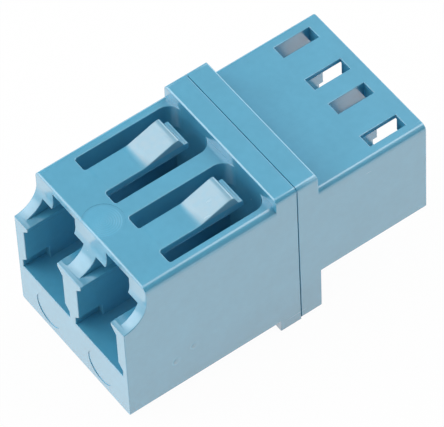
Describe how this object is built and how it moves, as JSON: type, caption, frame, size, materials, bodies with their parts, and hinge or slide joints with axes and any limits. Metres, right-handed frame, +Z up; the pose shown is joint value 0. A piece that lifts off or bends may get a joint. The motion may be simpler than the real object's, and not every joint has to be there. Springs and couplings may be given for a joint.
{
  "type": "duplex lc fibre adapter",
  "caption": "Duplex optical fibre adapter with scooped front ports, a panel flange, sprung roof snaps and lower rear ports with latch windows.",
  "frame": {"origin": "on the flange's front face, which seats against the panel, midway between the two fibre axes", "axes": "+X to the right seen from the front ports, +Y along the fibres from the front ports to the rear ports, +Z up through the snap tongues"},
  "size_m": [0.0128, 0.0255, 0.0147],
  "materials": {
    "housing": "semi-gloss moulded blue",
    "ceramic": "polished zirconia"
  },
  "bodies": {
    "adapter": {"front_housing": "housing", "rear_housing": "housing", "left_alignment_sleeve": "ceramic", "right_alignment_sleeve": "ceramic"},
    "left_snap": {"left_snap_tongue": "housing"},
    "right_snap": {"right_snap_tongue": "housing"}
  },
  "joints": [
    {"name": "left_snap_press", "type": "hinge", "parent": "adapter", "child": "left_snap", "pos_m": [-0.00313, -0.0082, 0.00575], "axis": [-1, 0, 0], "range_deg": [0, 9], "stiffness_Nm_per_rad": 0.061},
    {"name": "right_snap_press", "type": "hinge", "parent": "adapter", "child": "right_snap", "pos_m": [0.00313, -0.0082, 0.00575], "axis": [-1, 0, 0], "range_deg": [0, 9], "stiffness_Nm_per_rad": 0.061}
  ]
}
